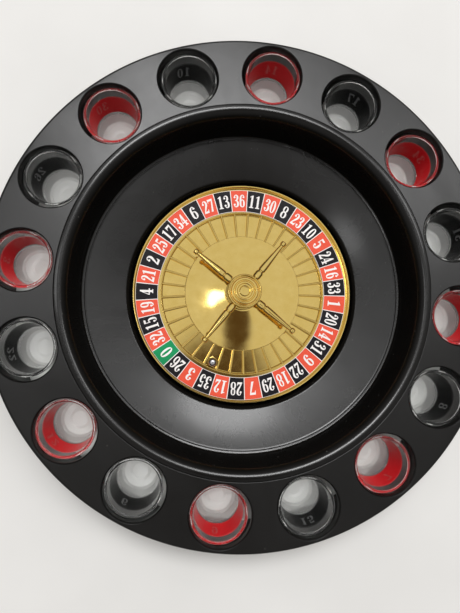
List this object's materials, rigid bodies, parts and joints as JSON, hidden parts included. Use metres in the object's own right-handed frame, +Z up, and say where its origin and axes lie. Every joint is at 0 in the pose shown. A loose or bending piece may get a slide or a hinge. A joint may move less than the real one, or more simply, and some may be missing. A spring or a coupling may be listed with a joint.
{
  "type": "roulette wheel",
  "caption": "Tabletop roulette wheel: a round black deck with a ring of shot glasses, a dished bowl, and a gold rotor with number ring, pockets, four-armed turret and steel ball.",
  "frame": {"origin": "middle of the circle that the skirt stands on, at table height", "axes": "+Z up along the rotor's axis, +Y away from the player, +X to the right"},
  "size_m": [0.29, 0.29, 0.0466],
  "materials": {
    "black_plastic": "satin-gloss moulded black styrene",
    "gold_plate": "mirror gold vacuum plating on moulded plastic",
    "printed_ring": "printed red, black and green sectors with white numerals and a thin clear laminate",
    "clear_glass": "clear pressed glass with an enamel band on the outside",
    "steel": "bright zinc",
    "steel_ball": "polished",
    "bronze": "sintered",
    "nylon": "natural"
  },
  "bodies": {
    "root": {"deck_ring": "black_plastic", "bowl": "black_plastic", "spindle": "steel", "thrust_washer": "nylon", "retaining_clip": "steel"},
    "wheel": {"rotor": "gold_plate", "number_ring": "printed_ring", "rotor_bush": "bronze", "turret_column": "gold_plate", "turret_cap": "gold_plate", "turret_arm_1": "gold_plate", "turret_arm_2": "gold_plate", "turret_arm_3": "gold_plate", "turret_arm_4": "gold_plate", "turret_screw_1": "steel", "turret_screw_2": "steel", "turret_screw_3": "steel"},
    "ball": {"ball": "steel_ball"},
    "glass_01": {"glass_01": "clear_glass"},
    "glass_02": {"glass_02": "clear_glass"},
    "glass_03": {"glass_03": "clear_glass"},
    "glass_04": {"glass_04": "clear_glass"},
    "glass_05": {"glass_05": "clear_glass"},
    "glass_06": {"glass_06": "clear_glass"},
    "glass_07": {"glass_07": "clear_glass"},
    "glass_08": {"glass_08": "clear_glass"},
    "glass_09": {"glass_09": "clear_glass"},
    "glass_10": {"glass_10": "clear_glass"},
    "glass_11": {"glass_11": "clear_glass"},
    "glass_12": {"glass_12": "clear_glass"},
    "glass_13": {"glass_13": "clear_glass"},
    "glass_14": {"glass_14": "clear_glass"},
    "glass_15": {"glass_15": "clear_glass"},
    "glass_16": {"glass_16": "clear_glass"}
  },
  "joints": [
    {"name": "wheel_spin", "type": "hinge", "parent": "root", "child": "wheel", "pos_m": [0, 0, 0.015], "axis": [0, 0, 1], "continuous": true},
    {"name": "ball_lift", "type": "slide", "parent": "wheel", "child": "ball", "axis": [0, 0, 1], "range_m": [0, 0.045]},
    {"name": "glass_01_lift", "type": "slide", "parent": "root", "child": "glass_01", "axis": [0, 0, 1], "range_m": [0, 0.055]},
    {"name": "glass_02_lift", "type": "slide", "parent": "root", "child": "glass_02", "axis": [0, 0, 1], "range_m": [0, 0.055]},
    {"name": "glass_03_lift", "type": "slide", "parent": "root", "child": "glass_03", "axis": [0, 0, 1], "range_m": [0, 0.055]},
    {"name": "glass_04_lift", "type": "slide", "parent": "root", "child": "glass_04", "axis": [0, 0, 1], "range_m": [0, 0.055]},
    {"name": "glass_05_lift", "type": "slide", "parent": "root", "child": "glass_05", "axis": [0, 0, 1], "range_m": [0, 0.055]},
    {"name": "glass_06_lift", "type": "slide", "parent": "root", "child": "glass_06", "axis": [0, 0, 1], "range_m": [0, 0.055]},
    {"name": "glass_07_lift", "type": "slide", "parent": "root", "child": "glass_07", "axis": [0, 0, 1], "range_m": [0, 0.055]},
    {"name": "glass_08_lift", "type": "slide", "parent": "root", "child": "glass_08", "axis": [0, 0, 1], "range_m": [0, 0.055]},
    {"name": "glass_09_lift", "type": "slide", "parent": "root", "child": "glass_09", "axis": [0, 0, 1], "range_m": [0, 0.055]},
    {"name": "glass_10_lift", "type": "slide", "parent": "root", "child": "glass_10", "axis": [0, 0, 1], "range_m": [0, 0.055]},
    {"name": "glass_11_lift", "type": "slide", "parent": "root", "child": "glass_11", "axis": [0, 0, 1], "range_m": [0, 0.055]},
    {"name": "glass_12_lift", "type": "slide", "parent": "root", "child": "glass_12", "axis": [0, 0, 1], "range_m": [0, 0.055]},
    {"name": "glass_13_lift", "type": "slide", "parent": "root", "child": "glass_13", "axis": [0, 0, 1], "range_m": [0, 0.055]},
    {"name": "glass_14_lift", "type": "slide", "parent": "root", "child": "glass_14", "axis": [0, 0, 1], "range_m": [0, 0.055]},
    {"name": "glass_15_lift", "type": "slide", "parent": "root", "child": "glass_15", "axis": [0, 0, 1], "range_m": [0, 0.055]},
    {"name": "glass_16_lift", "type": "slide", "parent": "root", "child": "glass_16", "axis": [0, 0, 1], "range_m": [0, 0.055]}
  ]
}
